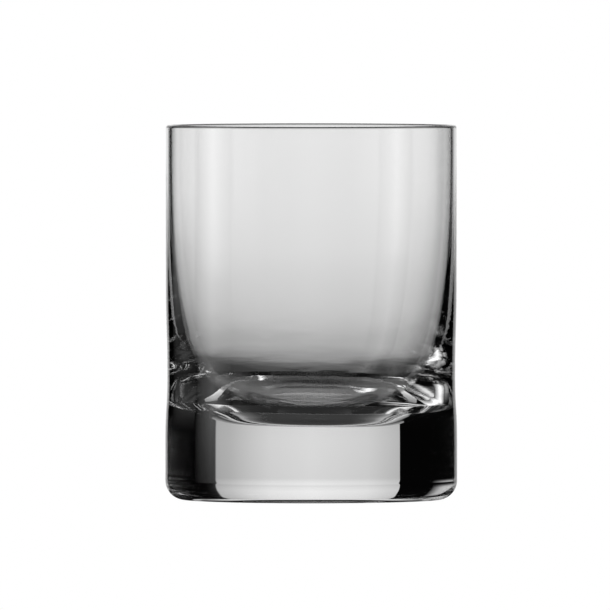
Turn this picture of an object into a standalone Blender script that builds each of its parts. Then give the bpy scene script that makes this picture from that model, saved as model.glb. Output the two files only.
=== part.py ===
"""A heavy-based whisky tumbler, drawn from one gather of clear crystal glass.

The whole glass is one turned piece: a half profile in the XZ plane, swept once round Z.
Metres, +Z up. The origin is the centre of the circle that the foot stands on.
"""

import math

import bmesh
import bpy

# Overall sizes
OUTER_DIAMETER = 0.0800
HEIGHT = 0.1030

# The rim and the thin upper wall
RIM_WALL = 0.00155
THIN_WALL_DEPTH = 0.0077      # how far below the rim the wall keeps the rim's thickness

# The cavity floor: a flat disc, a shallow dish round it, then a steeper step up to a corner
BASE_THICKNESS = 0.0202       # glass under the middle of the cavity floor
DISC_RADIUS = 0.0126
CORNER_WALL = 0.0116          # glass outside the corner
CORNER_RISE = 0.0059          # height of the corner above the flat disc
STEP_RUN = 0.0032             # the step starts this far inside the corner
STEP_RISE = 0.0038            # height of the step's foot above the flat disc
DISH_RUN = 0.0040             # the dish is straight over this run, inside the step
DISH_RISE = 0.00235           # height above the disc where the straight run begins
DISH_SLOPE = math.radians(20.0)
CORNER_SLOPE = math.radians(54.0)

# The bowl: from the corner up to the shoulder, and on into the thin wall
SHOULDER_WALL = 0.0070        # wall thickness at the shoulder
SHOULDER_RISE = 0.0158        # height of the shoulder above the flat disc
SHOULDER_SLOPE = math.radians(75.5)

# Lengths of the curve handles, which set how softly each run leaves and arrives
DISC_REACH = 0.0030
DISH_REACH = 0.0040
BOWL_REACH = 0.0035
SHOULDER_REACH = 0.0035
WALL_REACH = 0.0057
THIN_REACH = 0.0416

# The outside: a slight waist where the base ends, and a foot a little wider than the wall
WAIST_INSET = 0.0004
WAIST_HEIGHT = 0.0340
WAIST_RISE = 0.0260           # the straight wall begins this far above the waist
FOOT_FLARE = 0.00015
FOOT_FALL = 0.0180            # the foot is at its widest this far below the waist
HEEL_RADIUS = 0.0053

# The underside: a flat ring to stand on, round a shallow hollow
REST_RING_WIDTH = 0.0040
HOLLOW_DEPTH = 0.0006

# How finely each curve is divided
TURN_STEPS = 72
DISH_STEPS = 6
DISH_RUN_STEPS = 2
STEP_STEPS = 2
BOWL_STEPS = 5
WALL_STEPS = 8
LIP_STEPS = 6
WAIST_STEPS = 4
HEEL_STEPS = 5
HOLLOW_STEPS = 3

GLASS_COLOUR = (0.97, 0.98, 0.98, 1.0)
GLASS_IOR = 1.52
AXIS_MERGE = 0.00001


def clear_scene():
    for obj in list(bpy.data.objects):
        bpy.data.objects.remove(obj)


def bezier(start, handle_out, handle_in, end, steps):
    """The points of a cubic curve after its start, up to and including its end."""
    points = []
    for step in range(1, steps + 1):
        t = step / steps
        weights = ((1 - t) ** 3, 3 * (1 - t) ** 2 * t, 3 * (1 - t) * t ** 2, t ** 3)
        corners = (start, handle_out, handle_in, end)
        points.append(tuple(sum(w * c[k] for w, c in zip(weights, corners)) for k in (0, 1)))
    return points


def line(start, end, steps):
    """The points of a straight run after its start, up to and including its end."""
    return [
        tuple(a + (b - a) * step / steps for a, b in zip(start, end))
        for step in range(1, steps + 1)
    ]


def ahead(point, slope, reach):
    """The point a given reach further along a line through the point at that slope."""
    return (point[0] + reach * math.cos(slope), point[1] + reach * math.sin(slope))


def ease(start, end, steps):
    """A curve from start to end that leaves and arrives vertically."""
    middle = (start[1] + end[1]) / 2
    return bezier(start, (start[0], middle), (end[0], middle), end, steps)


def arc(centre, radius, start_angle, end_angle, steps):
    """The points of an arc after its start, up to and including its end."""
    points = []
    for step in range(1, steps + 1):
        angle = start_angle + (end_angle - start_angle) * step / steps
        points.append((centre[0] + radius * math.cos(angle), centre[1] + radius * math.sin(angle)))
    return points


def cavity_profile():
    """The inside, from the middle of the cavity floor up to where the lip begins."""
    outer_radius = OUTER_DIAMETER / 2
    floor = (0.0, BASE_THICKNESS)
    disc = (DISC_RADIUS, BASE_THICKNESS)
    corner = (outer_radius - CORNER_WALL, BASE_THICKNESS + CORNER_RISE)
    step = (corner[0] - STEP_RUN, BASE_THICKNESS + STEP_RISE)
    dish = (step[0] - DISH_RUN, BASE_THICKNESS + DISH_RISE)
    shoulder = (outer_radius - SHOULDER_WALL, BASE_THICKNESS + SHOULDER_RISE)
    thin = (outer_radius - RIM_WALL, HEIGHT - THIN_WALL_DEPTH)
    lip_start = (thin[0], HEIGHT - RIM_WALL / 2)
    leave = ahead(disc, 0.0, DISC_REACH)
    arrive = ahead(dish, DISH_SLOPE, -DISH_REACH)
    points = [floor, disc]
    points += bezier(disc, leave, arrive, dish, DISH_STEPS)
    points += line(dish, step, DISH_RUN_STEPS)
    points += line(step, corner, STEP_STEPS)
    leave = ahead(corner, CORNER_SLOPE, BOWL_REACH)
    arrive = ahead(shoulder, SHOULDER_SLOPE, -SHOULDER_REACH)
    points += bezier(corner, leave, arrive, shoulder, BOWL_STEPS)
    leave = ahead(shoulder, SHOULDER_SLOPE, WALL_REACH)
    points += bezier(shoulder, leave, (thin[0], thin[1] - THIN_REACH), thin, WALL_STEPS)
    points.append(lip_start)
    return points


def lip_profile():
    """The fire-polished lip: a half round over the whole wall."""
    lip_radius = RIM_WALL / 2
    centre = (OUTER_DIAMETER / 2 - lip_radius, HEIGHT - lip_radius)
    return arc(centre, lip_radius, math.pi, 0.0, LIP_STEPS)


def outside_profile():
    """The outside, from under the lip down to the ring that the glass stands on."""
    wall_radius = OUTER_DIAMETER / 2
    foot_radius = wall_radius + FOOT_FLARE
    wall_end = (wall_radius, WAIST_HEIGHT + WAIST_RISE)
    waist = (wall_radius - WAIST_INSET, WAIST_HEIGHT)
    foot = (foot_radius, WAIST_HEIGHT - FOOT_FALL)
    heel_centre = (foot_radius - HEEL_RADIUS, HEEL_RADIUS)
    points = [wall_end]
    points += ease(wall_end, waist, WAIST_STEPS)
    points += ease(waist, foot, WAIST_STEPS)
    points.append((foot_radius, HEEL_RADIUS))
    points += arc(heel_centre, HEEL_RADIUS, 0.0, -math.pi / 2, HEEL_STEPS)
    return points


def underside_profile():
    """The resting ring's inner edge, then the shallow dome of the hollow up to the axis."""
    ring_inner = OUTER_DIAMETER / 2 + FOOT_FLARE - HEEL_RADIUS - REST_RING_WIDTH
    dome_radius = (ring_inner ** 2 + HOLLOW_DEPTH ** 2) / (2 * HOLLOW_DEPTH)
    dome_centre = (0.0, HOLLOW_DEPTH - dome_radius)
    edge_angle = math.atan2(-dome_centre[1], ring_inner)
    points = [(ring_inner, 0.0)]
    points += arc(dome_centre, dome_radius, edge_angle, math.pi / 2, HOLLOW_STEPS)
    points[-1] = (0.0, HOLLOW_DEPTH)
    return points


def turned(name, profile, collection):
    """A solid of revolution from a half profile that starts and ends on the axis."""
    mesh = bpy.data.meshes.new(name)
    shape = bmesh.new()
    corners = [shape.verts.new((x, 0.0, z)) for x, z in profile]
    for first, second in zip(corners, corners[1:]):
        shape.edges.new((first, second))
    shape.to_mesh(mesh)
    shape.free()
    solid = bpy.data.objects.new(name, mesh)
    collection.objects.link(solid)
    screw = solid.modifiers.new("turn", "SCREW")
    screw.axis = "Z"
    screw.angle = 2 * math.pi
    screw.steps = TURN_STEPS
    screw.render_steps = TURN_STEPS
    screw.use_merge_vertices = True
    screw.merge_threshold = AXIS_MERGE
    screw.use_smooth_shade = True
    return solid


def glass_material():
    material = bpy.data.materials.new("clear_crystal")
    material.use_nodes = True
    shader = material.node_tree.nodes["Principled BSDF"]
    shader.inputs["Base Color"].default_value = GLASS_COLOUR
    shader.inputs["Metallic"].default_value = 0.0
    shader.inputs["Roughness"].default_value = 0.0
    shader.inputs["IOR"].default_value = GLASS_IOR
    shader.inputs["Transmission Weight"].default_value = 1.0
    return material


def build():
    clear_scene()
    collection = bpy.data.collections.new("whisky_tumbler")
    bpy.context.scene.collection.children.link(collection)
    profile = cavity_profile() + lip_profile() + outside_profile() + underside_profile()
    tumbler = turned("tumbler_glass", profile, collection)
    tumbler.data.materials.append(glass_material())


build()
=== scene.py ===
"""The looks of a clear, heavy-based whisky tumbler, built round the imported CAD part."""

import math

import bpy
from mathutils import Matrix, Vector, noise


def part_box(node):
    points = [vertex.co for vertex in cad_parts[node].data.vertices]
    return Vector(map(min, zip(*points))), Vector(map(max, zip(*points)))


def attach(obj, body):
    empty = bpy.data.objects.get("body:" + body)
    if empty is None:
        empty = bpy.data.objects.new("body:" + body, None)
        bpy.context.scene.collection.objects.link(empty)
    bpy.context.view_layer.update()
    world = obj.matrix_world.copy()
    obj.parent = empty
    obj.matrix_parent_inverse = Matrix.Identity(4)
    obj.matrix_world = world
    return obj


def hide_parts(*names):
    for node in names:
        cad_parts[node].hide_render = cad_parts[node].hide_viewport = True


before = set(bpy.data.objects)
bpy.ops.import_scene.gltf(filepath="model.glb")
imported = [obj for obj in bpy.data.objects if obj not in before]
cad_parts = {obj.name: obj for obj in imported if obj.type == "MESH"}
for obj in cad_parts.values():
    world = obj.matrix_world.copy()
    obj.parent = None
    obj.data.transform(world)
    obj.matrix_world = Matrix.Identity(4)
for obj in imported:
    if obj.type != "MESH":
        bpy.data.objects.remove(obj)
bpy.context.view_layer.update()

cad_low, cad_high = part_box("tumbler_glass")

# Sizes of the glass, as the CAD part has them, in metres. Walls are measured in from the outside.
HEIGHT = cad_high.z
FOOT_RADIUS = cad_high.x
FOOT_FLARE = 0.00015
WALL_RADIUS = FOOT_RADIUS - FOOT_FLARE
RIM_WALL = 0.00155
THIN_WALL_DEPTH = 0.0077
BASE_THICKNESS = 0.0202
DISC_RADIUS = 0.0126
CORNER_WALL = 0.0116
CORNER_RISE = 0.0059
STEP_RUN = 0.0032
STEP_RISE = 0.0038
DISH_RUN = 0.0040
DISH_RISE = 0.00235
SHOULDER_WALL = 0.0070
SHOULDER_RISE = 0.0158
WAIST_INSET = 0.0004
WAIST_HEIGHT = 0.0340
WAIST_RISE = 0.0260
FOOT_FALL = 0.0180
HEEL_RADIUS = 0.0053
REST_RING_WIDTH = 0.0040
HOLLOW_DEPTH = 0.0006

# Slopes of the cavity where its curves meet, and how far each curve holds to them
DISH_SLOPE = math.radians(20.0)
STEP_FOOT_SLOPE = math.radians(33.0)
STEP_TOP_SLOPE = math.radians(35.0)
CORNER_SLOPE = math.radians(54.0)
SHOULDER_SLOPE = math.radians(75.5)
DISC_REACH = 0.0030
DISH_REACH = 0.0040
DISH_EDGE_REACH = 0.0005
STEP_REACH = 0.0012
BOWL_REACH = 0.0035
SHOULDER_REACH = 0.0035
WALL_REACH = 0.0057
THIN_REACH = 0.0416

# How finely the outline is cut. A support ring beside each end of a round keeps its shading to itself.
TURN_STEPS = 384
DISC_STEPS = 20
DISH_STEPS = 40
DISH_EDGE_STEPS = 20
STEP_STEPS = 24
BOWL_STEPS = 60
WALL_STEPS = 60
SHORT_STEPS = 8
LIP_STEPS = 24
OUTER_WALL_STEPS = 24
WAIST_STEPS = 30
FOOT_STEPS = 24
HEEL_STEPS = 32
RING_STEPS = 2
HOLLOW_STEPS = 24
SUPPORT = 0.0001

# How the bottom of the bowl differs from a true turned shape: its fall towards +X, and its ripple
OUT_OF_LEVEL = 0.014
LEVEL_FROM = 0.030
LEVEL_TO = 0.048
RIPPLE_DEPTH = 0.00002
RIPPLE_SIZE = 0.007
RIPPLE_FLATTEN = 2.0
RIPPLE_LOW = 0.0235
RIPPLE_LOW_FADE = 0.004
RIPPLE_HIGH = 0.055
RIPPLE_HIGH_FADE = 0.012

# The glass itself. Its cords are fine waves, close together up the wall and long round it.
GLASS_IOR = 1.52
GLASS_TINT = 0.86
TINT_DENSITY = 1.0
CORD_SCALE = (120.0, 120.0, 900.0)
CORD_DETAIL = 2.0
CORD_ROUGHNESS = 0.4
CORD_DEPTH = 0.000012
CORDS_RISE = (0.022, 0.034)
CORDS_FADE = (0.040, 0.062)

# Camera
CAMERA_DISTANCE = 5.5
CAMERA_HEIGHT = 0.171
AIM = Vector((-0.00173, 0.0, 0.0535))
VIEW_WIDTH = 0.1678
SENSOR = 36.0
CLIP_NEAR = 0.1
CLIP_FAR = 50.0

# Room
CAMERA_WHITE = 1.0
ROOM_LIGHT = 0.0012
GLASS_MIDDLE = 0.05
CARD_CELLS = 48
DISC_SPOKES = 96

# Cards: reach from the glass in metres, strength, and brightness against bearing and against height angle,
# both in degrees. Bearing 0 is straight behind the glass and grows to the right.
BACKDROP_REACH = 0.50
BACKDROP_STRENGTH = 1.0
BACKDROP_ACROSS = [
    (-24.6, 0.68), (-20, 0.76), (-14, 0.89), (0, 1.0), (10, 0.92), (16, 0.78), (22, 0.63), (27.2, 0.53),
    (27.8, 0.035), (29, 0.014), (32, 0.003), (40, 0.0),
]
BACKDROP_UPWARD = [
    (-50, 0.0), (-34, 0.06), (-31, 0.115), (-29, 0.19), (-26.6, 0.30), (-23.7, 0.365), (-19.5, 0.444),
    (-14.5, 0.51), (-12, 0.59), (-8.4, 0.69), (-6, 0.755), (-2.7, 0.84), (1, 0.89), (5, 0.93), (13, 0.90),
    (21, 0.87), (30, 0.8), (40, 0.2), (48, 0.06), (66, 0.03), (75, 0.0),
]
SIDE_REACH = 0.32
SIDE_STRENGTH = 1.0
SIDE_UPWARD = [(-6, 0.0), (-3.5, 0.15), (3, 1.0), (20, 1.0), (28, 0.0)]
LEFT_ACROSS = [(-145, 0.0), (-125, 0.5), (-100, 0.8), (-62, 0.9), (-50, 0.6), (-40, 0.0)]
RIGHT_ACROSS = [(45, 0.0), (65, 0.03), (110, 0.04), (150, 0.0)]
STRIP_REACH = 0.30
STRIP_STRENGTH = 1.7
STRIP_ACROSS = [(-118, 0.0), (-106, 0.6), (-99, 1.0), (-92, 0.6), (-80, 0.0)]
STRIP_UPWARD = [(-12, 0.0), (-8, 0.6), (0, 1.0), (50, 1.0), (60, 0.0)]

# Flat lights: radius or side, height, and brightness against the distance from the middle in metres
OVERHEAD_RADIUS = 0.2
OVERHEAD_HEIGHT = 0.6
OVERHEAD_LIGHT = 0.7
SHADE_RADIUS = 0.047
SHADE_HEIGHT = -0.0002
SHADE_OUTWARD = [(0.0, 0.022), (0.030, 0.022), (0.036, 0.006), (SHADE_RADIUS, 0.004)]
FLOOR_SIZE = 40.0
FLOOR_HEIGHT = -0.0003
FLOOR_WHITE = 1.0

# How often light may turn in the glass
GLASS_BOUNCES = 24
GLOSSY_BOUNCES = 16


def bezier(start, handle_out, handle_in, end, steps):
    """Points after the start of a cubic curve, its end included."""
    points = []
    for step in range(1, steps + 1):
        t = step / steps
        weights = ((1 - t) ** 3, 3 * (1 - t) ** 2 * t, 3 * (1 - t) * t ** 2, t ** 3)
        corners = (start, handle_out, handle_in, end)
        points.append(tuple(sum(w * c[k] for w, c in zip(weights, corners)) for k in (0, 1)))
    return points


def ease(start, end, steps):
    """A curve from start to end that is upright at both."""
    middle = (start[1] + end[1]) / 2
    return bezier(start, (start[0], middle), (end[0], middle), end, steps)


def line(start, end, steps):
    return [
        tuple(a + (b - a) * step / steps for a, b in zip(start, end)) for step in range(1, steps + 1)
    ]


def arc(centre, radius, start_angle, end_angle, steps):
    points = []
    for step in range(1, steps + 1):
        angle = start_angle + (end_angle - start_angle) * step / steps
        points.append((centre[0] + radius * math.cos(angle), centre[1] + radius * math.sin(angle)))
    return points


def ahead(point, slope, reach):
    """The point that lies this far from another, along a slope."""
    return (point[0] + reach * math.cos(slope), point[1] + reach * math.sin(slope))


def cavity_profile():
    """The inside, from the middle of the cavity floor up to where the lip begins."""
    floor = (0.0, BASE_THICKNESS)
    disc_edge = (DISC_RADIUS, BASE_THICKNESS)
    corner = (WALL_RADIUS - CORNER_WALL, BASE_THICKNESS + CORNER_RISE)
    step = (corner[0] - STEP_RUN, BASE_THICKNESS + STEP_RISE)
    dish = (step[0] - DISH_RUN, BASE_THICKNESS + DISH_RISE)
    shoulder = (WALL_RADIUS - SHOULDER_WALL, BASE_THICKNESS + SHOULDER_RISE)
    thin = (WALL_RADIUS - RIM_WALL, HEIGHT - THIN_WALL_DEPTH)
    lip_start = (thin[0], HEIGHT - RIM_WALL / 2)
    points = [floor]
    points += line(floor, disc_edge, DISC_STEPS)
    leave = ahead(disc_edge, 0.0, DISC_REACH)
    arrive = ahead(dish, DISH_SLOPE, -DISH_REACH)
    points += bezier(disc_edge, leave, arrive, dish, DISH_STEPS)
    leave = ahead(dish, DISH_SLOPE, DISH_EDGE_REACH)
    arrive = ahead(step, DISH_SLOPE, -DISH_EDGE_REACH)
    points += bezier(dish, leave, arrive, step, DISH_EDGE_STEPS)
    leave = ahead(step, STEP_FOOT_SLOPE, STEP_REACH)
    arrive = ahead(corner, STEP_TOP_SLOPE, -STEP_REACH)
    points += bezier(step, leave, arrive, corner, STEP_STEPS)
    leave = ahead(corner, CORNER_SLOPE, BOWL_REACH)
    arrive = ahead(shoulder, SHOULDER_SLOPE, -SHOULDER_REACH)
    points += bezier(corner, leave, arrive, shoulder, BOWL_STEPS)
    leave = ahead(shoulder, SHOULDER_SLOPE, WALL_REACH)
    points += bezier(shoulder, leave, (thin[0], thin[1] - THIN_REACH), thin, WALL_STEPS)
    points += line(thin, (thin[0], lip_start[1] - SUPPORT), SHORT_STEPS)
    points.append(lip_start)
    return points


def outside_profile():
    """The lip, the outer wall, the heel, the resting ring and the hollow under the base, up to the axis."""
    lip_radius = RIM_WALL / 2
    lip_centre = (WALL_RADIUS - lip_radius, HEIGHT - lip_radius)
    wall_end = (WALL_RADIUS, WAIST_HEIGHT + WAIST_RISE)
    waist = (WALL_RADIUS - WAIST_INSET, WAIST_HEIGHT)
    foot = (FOOT_RADIUS, WAIST_HEIGHT - FOOT_FALL)
    heel_centre = (FOOT_RADIUS - HEEL_RADIUS, HEEL_RADIUS)
    ring_outer = heel_centre[0]
    ring_inner = ring_outer - REST_RING_WIDTH
    dome_radius = (ring_inner ** 2 + HOLLOW_DEPTH ** 2) / (2 * HOLLOW_DEPTH)
    edge_angle = math.asin((dome_radius - HOLLOW_DEPTH) / dome_radius)
    points = arc(lip_centre, lip_radius, math.pi, 0.0, LIP_STEPS)
    points.append((WALL_RADIUS, lip_centre[1] - SUPPORT))
    points += line(points[-1], wall_end, OUTER_WALL_STEPS)
    points += ease(wall_end, waist, WAIST_STEPS)
    points += ease(waist, foot, FOOT_STEPS)
    points += line(foot, (FOOT_RADIUS, HEEL_RADIUS + SUPPORT), SHORT_STEPS)
    points.append((FOOT_RADIUS, HEEL_RADIUS))
    points += arc(heel_centre, HEEL_RADIUS, 0.0, -math.pi / 2, HEEL_STEPS)
    points += line((ring_outer, 0.0), (ring_inner, 0.0), RING_STEPS)
    points += arc((0.0, HOLLOW_DEPTH - dome_radius), dome_radius, edge_angle, math.pi / 2, HOLLOW_STEPS)
    points[-1] = (0.0, HOLLOW_DEPTH)
    return points


def fade(value, start, end):
    """0 below start, 1 above end, and an S curve between them."""
    t = min(max((value - start) / (end - start), 0.0), 1.0)
    return t * t * (3 - 2 * t)


def settled(radius, height, slope_out, slope_up, angle):
    """A point of the cavity, where the bowl's bottom lies a little out of level and its turn is rippled."""
    x = radius * math.cos(angle)
    y = radius * math.sin(angle)
    tilted = 1 - fade(height, LEVEL_FROM, LEVEL_TO)
    rippled = fade(height, RIPPLE_LOW, RIPPLE_LOW + RIPPLE_LOW_FADE)
    rippled *= 1 - fade(height, RIPPLE_HIGH - RIPPLE_HIGH_FADE, RIPPLE_HIGH)
    wave = noise.noise(Vector((x, y, height * RIPPLE_FLATTEN)) / RIPPLE_SIZE)
    push = wave * rippled * RIPPLE_DEPTH
    radius += push * slope_out
    height += push * slope_up - OUT_OF_LEVEL * x * tilted
    return (radius * math.cos(angle), radius * math.sin(angle), height)


def link_mesh(name, verts, faces):
    mesh = bpy.data.meshes.new(name)
    mesh.from_pydata(verts, [], faces)
    obj = bpy.data.objects.new(name, mesh)
    bpy.context.scene.collection.objects.link(obj)
    return obj


def turn(name, cavity, outside):
    """Turns the outline once round Z, with one vertex at each end on the axis. Only the cavity is settled."""
    profile = cavity + outside
    rings = profile[1:-1]
    verts = [(0.0, 0.0, profile[0][1])]
    for ring, (radius, height) in enumerate(rings, 1):
        before = profile[ring - 1]
        after = profile[ring + 1]
        run = (after[0] - before[0], after[1] - before[1])
        length = math.hypot(*run)
        for k in range(TURN_STEPS):
            angle = 2 * math.pi * k / TURN_STEPS
            if ring < len(cavity):
                verts.append(settled(radius, height, -run[1] / length, run[0] / length, angle))
            else:
                verts.append((radius * math.cos(angle), radius * math.sin(angle), height))
    verts.append((0.0, 0.0, profile[-1][1]))
    last = len(verts) - 1
    faces = []
    for k in range(TURN_STEPS):
        after = (k + 1) % TURN_STEPS
        faces.append((0, 1 + k, 1 + after))
        for ring in range(len(rings) - 1):
            base = 1 + ring * TURN_STEPS
            faces.append((base + k, base + TURN_STEPS + k, base + TURN_STEPS + after, base + after))
        base = 1 + (len(rings) - 1) * TURN_STEPS
        faces.append((base + k, last, base + after))
    obj = link_mesh(name, verts, faces)
    obj.data.shade_smooth()
    return obj


def math_node(tree, operation, first, second=None):
    """A Math node on one or two sockets."""
    node = tree.nodes.new("ShaderNodeMath")
    node.operation = operation
    for slot, value in zip(node.inputs, (first, second)):
        if value is not None:
            tree.links.new(value, slot)
    return node.outputs[0]


def smooth_step(tree, value, start, end):
    """0 at start, 1 at end, and an S curve between them."""
    node = tree.nodes.new("ShaderNodeMapRange")
    node.interpolation_type = "SMOOTHSTEP"
    node.inputs["From Min"].default_value = start
    node.inputs["From Max"].default_value = end
    tree.links.new(value, node.inputs["Value"])
    return node.outputs[0]


def cord_bump(tree):
    """Fine cords in the glass just above the base, as a bump that fades out up the wall."""
    place = tree.nodes.new("ShaderNodeTexCoord")
    stretch = tree.nodes.new("ShaderNodeMapping")
    stretch.inputs["Scale"].default_value = CORD_SCALE
    cords = tree.nodes.new("ShaderNodeTexNoise")
    cords.inputs["Scale"].default_value = 1.0
    cords.inputs["Detail"].default_value = CORD_DETAIL
    cords.inputs["Roughness"].default_value = CORD_ROUGHNESS
    axis = tree.nodes.new("ShaderNodeSeparateXYZ")
    tree.links.new(place.outputs["Object"], stretch.inputs["Vector"])
    tree.links.new(stretch.outputs["Vector"], cords.inputs["Vector"])
    tree.links.new(place.outputs["Object"], axis.inputs["Vector"])
    fades_out = smooth_step(tree, axis.outputs["Z"], CORDS_FADE[1], CORDS_FADE[0])
    rises = smooth_step(tree, axis.outputs["Z"], CORDS_RISE[0], CORDS_RISE[1])
    band = math_node(tree, "MULTIPLY", fades_out, rises)
    masked = math_node(tree, "MULTIPLY", cords.outputs[0], band)
    bump = tree.nodes.new("ShaderNodeBump")
    bump.inputs["Distance"].default_value = CORD_DEPTH
    tree.links.new(masked, bump.inputs["Height"])
    return bump.outputs["Normal"]


def glass_material():
    material = bpy.data.materials.new("clear_glass")
    material.use_nodes = True
    tree = material.node_tree
    shader = tree.nodes["Principled BSDF"]
    shader.inputs["Base Color"].default_value = (1.0, 1.0, 1.0, 1.0)
    shader.inputs["Roughness"].default_value = 0.0
    shader.inputs["IOR"].default_value = GLASS_IOR
    shader.inputs["Transmission Weight"].default_value = 1.0
    tree.links.new(cord_bump(tree), shader.inputs["Normal"])
    tint = tree.nodes.new("ShaderNodeVolumeAbsorption")
    tint.inputs["Color"].default_value = (GLASS_TINT, GLASS_TINT, GLASS_TINT, 1.0)
    tint.inputs["Density"].default_value = TINT_DENSITY
    tree.links.new(tint.outputs["Volume"], tree.nodes["Material Output"].inputs["Volume"])
    return material


glass = turn("blown_glass", cavity_profile(), outside_profile())
glass.data.materials.append(glass_material())
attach(glass, "root")
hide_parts("tumbler_glass")


def place_camera():
    data = bpy.data.cameras.new("camera")
    obj = bpy.data.objects.new("camera", data)
    bpy.context.scene.collection.objects.link(obj)
    obj.location = Vector((AIM.x, -CAMERA_DISTANCE, CAMERA_HEIGHT))
    direction = AIM - obj.location
    obj.rotation_mode = "QUATERNION"
    obj.rotation_quaternion = direction.to_track_quat("-Z", "Y")
    data.sensor_width = SENSOR
    data.lens = SENSOR * direction.length / VIEW_WIDTH
    data.clip_start = CLIP_NEAR
    data.clip_end = CLIP_FAR
    bpy.context.scene.camera = obj
    return obj


def studio_world():
    """Plain white behind the glass for the camera, and a dark room for the glass."""
    world = bpy.data.worlds.new("studio")
    bpy.context.scene.world = world
    world.use_nodes = True
    tree = world.node_tree
    tree.nodes.clear()
    output = tree.nodes.new("ShaderNodeOutputWorld")
    to_camera = tree.nodes.new("ShaderNodeBackground")
    to_glass = tree.nodes.new("ShaderNodeBackground")
    choose = tree.nodes.new("ShaderNodeMixShader")
    path = tree.nodes.new("ShaderNodeLightPath")
    to_camera.inputs["Color"].default_value = (CAMERA_WHITE, CAMERA_WHITE, CAMERA_WHITE, 1.0)
    to_glass.inputs["Color"].default_value = (ROOM_LIGHT, ROOM_LIGHT, ROOM_LIGHT, 1.0)
    tree.links.new(path.outputs["Is Camera Ray"], choose.inputs["Fac"])
    tree.links.new(to_glass.outputs[0], choose.inputs[1])
    tree.links.new(to_camera.outputs[0], choose.inputs[2])
    tree.links.new(choose.outputs[0], output.inputs["Surface"])


camera = place_camera()
studio_world()


def ramp(tree, value, stops):
    """A straight-line ramp of brightness over a value. Stops are (value, brightness)."""
    start, end = stops[0][0], stops[-1][0]
    place = tree.nodes.new("ShaderNodeMapRange")
    place.inputs["From Min"].default_value = start
    place.inputs["From Max"].default_value = end
    tree.links.new(value, place.inputs["Value"])
    colours = tree.nodes.new("ShaderNodeValToRGB")
    elements = colours.color_ramp.elements
    while len(elements) < len(stops):
        elements.new(0.5)
    for element, (position, level) in zip(elements, stops):
        element.position = (position - start) / (end - start)
        element.color = (level, level, level, 1.0)
    tree.links.new(place.outputs[0], colours.inputs["Fac"])
    return colours.outputs["Color"]


def light_tree(name):
    """A new material with an empty node tree."""
    material = bpy.data.materials.new(name)
    material.use_nodes = True
    material.node_tree.nodes.clear()
    return material, material.node_tree


def glow_finish(tree, level, strength):
    """Gives the material off as light, at this level and strength."""
    glow = tree.nodes.new("ShaderNodeEmission")
    glow.inputs["Strength"].default_value = strength
    tree.links.new(level, glow.inputs["Color"])
    result = tree.nodes.new("ShaderNodeOutputMaterial")
    tree.links.new(glow.outputs[0], result.inputs["Surface"])


def card_light(name, across, upward, strength):
    """Light that varies with bearing and with height angle as seen from the glass, both in degrees."""
    material, tree = light_tree(name)
    where = tree.nodes.new("ShaderNodeTexCoord")
    unit = tree.nodes.new("ShaderNodeVectorMath")
    unit.operation = "NORMALIZE"
    tree.links.new(where.outputs["Object"], unit.inputs[0])
    axis = tree.nodes.new("ShaderNodeSeparateXYZ")
    tree.links.new(unit.outputs[0], axis.inputs[0])
    bearing = math_node(tree, "DEGREES", math_node(tree, "ARCTAN2", axis.outputs["X"], axis.outputs["Y"]))
    rise = math_node(tree, "DEGREES", math_node(tree, "ARCSINE", axis.outputs["Z"]))
    both = tree.nodes.new("ShaderNodeMixRGB")
    both.blend_type = "MULTIPLY"
    both.inputs["Fac"].default_value = 1.0
    tree.links.new(ramp(tree, bearing, across), both.inputs["Color1"])
    tree.links.new(ramp(tree, rise, upward), both.inputs["Color2"])
    glow_finish(tree, both.outputs["Color"], strength)
    return material


def ring_light(name, outward):
    """Light that varies with the distance from the middle."""
    material, tree = light_tree(name)
    where = tree.nodes.new("ShaderNodeTexCoord")
    length = tree.nodes.new("ShaderNodeVectorMath")
    length.operation = "LENGTH"
    tree.links.new(where.outputs["Object"], length.inputs[0])
    glow_finish(tree, ramp(tree, length.outputs["Value"], outward), 1.0)
    return material


def card(name, across, upward, strength, reach):
    """A curved card round the glass, fixed to the camera. Its edges are the ends of the two ramps."""
    left, right = across[0][0], across[-1][0]
    bottom, top = upward[0][0], upward[-1][0]
    verts = []
    for row in range(CARD_CELLS + 1):
        rise = math.radians(bottom + (top - bottom) * row / CARD_CELLS)
        for column in range(CARD_CELLS + 1):
            bearing = math.radians(left + (right - left) * column / CARD_CELLS)
            verts.append((
                reach * math.cos(rise) * math.sin(bearing),
                reach * math.cos(rise) * math.cos(bearing),
                reach * math.sin(rise),
            ))
    faces = []
    for row in range(CARD_CELLS):
        for column in range(CARD_CELLS):
            base = row * (CARD_CELLS + 1) + column
            faces.append((base, base + 1, base + CARD_CELLS + 2, base + CARD_CELLS + 1))
    obj = link_mesh(name, verts, faces)
    obj.location = (0.0, 0.0, GLASS_MIDDLE)
    obj.data.materials.append(card_light(name + "_light", across, upward, strength))
    obj.visible_camera = False
    bpy.context.view_layer.update()
    stays = obj.matrix_world.copy()
    obj.parent = camera
    obj.matrix_world = stays


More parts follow.
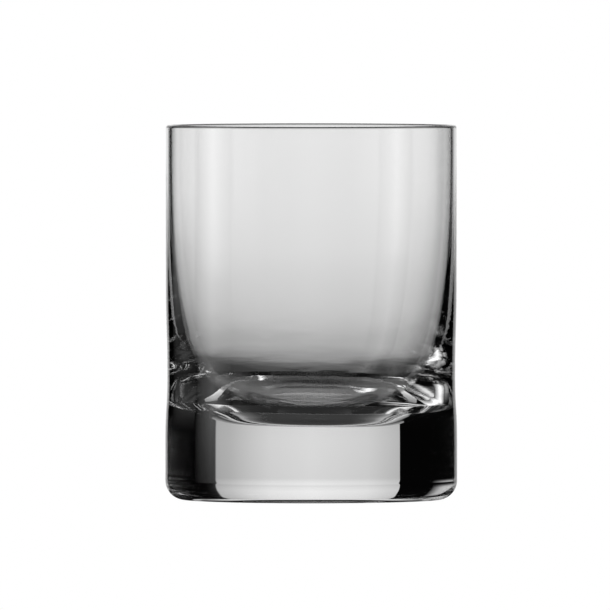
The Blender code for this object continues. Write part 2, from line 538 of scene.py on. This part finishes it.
def disc(name, radius, height, outward):
    """A round flat light or shade that the camera doesn't see."""
    verts = [(0.0, 0.0, 0.0)]
    for k in range(DISC_SPOKES):
        angle = 2 * math.pi * k / DISC_SPOKES
        verts.append((radius * math.cos(angle), radius * math.sin(angle), 0.0))
    faces = [(0, 1 + k, 1 + (k + 1) % DISC_SPOKES) for k in range(DISC_SPOKES)]
    material = ring_light(name + "_light", outward)
    obj = link_mesh(name, verts, faces)
    obj.location = (0.0, 0.0, height)
    obj.data.materials.append(material)
    obj.visible_camera = False


def floor():
    """A white floor that only the camera sees. It casts nothing on the glass and doesn't show through it."""
    half = FLOOR_SIZE / 2
    corners = [(-half, -half, 0), (half, -half, 0), (half, half, 0), (-half, half, 0)]
    obj = link_mesh("floor", corners, [(0, 1, 2, 3)])
    obj.location = (0.0, 0.0, FLOOR_HEIGHT)
    obj.data.materials.append(ring_light("floor_white", [(0.0, FLOOR_WHITE), (1.0, FLOOR_WHITE)]))
    for sight in ("diffuse", "glossy", "transmission", "volume_scatter", "shadow"):
        setattr(obj, "visible_" + sight, False)


card("backdrop", BACKDROP_ACROSS, BACKDROP_UPWARD, BACKDROP_STRENGTH, BACKDROP_REACH)
card("side_left", LEFT_ACROSS, SIDE_UPWARD, SIDE_STRENGTH, SIDE_REACH)
card("side_right", RIGHT_ACROSS, SIDE_UPWARD, SIDE_STRENGTH, SIDE_REACH)
card("strip_left", STRIP_ACROSS, STRIP_UPWARD, STRIP_STRENGTH, STRIP_REACH)
disc("overhead", OVERHEAD_RADIUS, OVERHEAD_HEIGHT, [(0.0, OVERHEAD_LIGHT), (OVERHEAD_RADIUS, OVERHEAD_LIGHT)])
disc("contact_shade", SHADE_RADIUS, SHADE_HEIGHT, SHADE_OUTWARD)
floor()

scene = bpy.context.scene
scene.view_settings.view_transform = "Standard"
scene.cycles.max_bounces = GLASS_BOUNCES
scene.cycles.transmission_bounces = GLASS_BOUNCES
scene.cycles.glossy_bounces = GLOSSY_BOUNCES
scene.cycles.caustics_refractive = True
scene.cycles.caustics_reflective = True
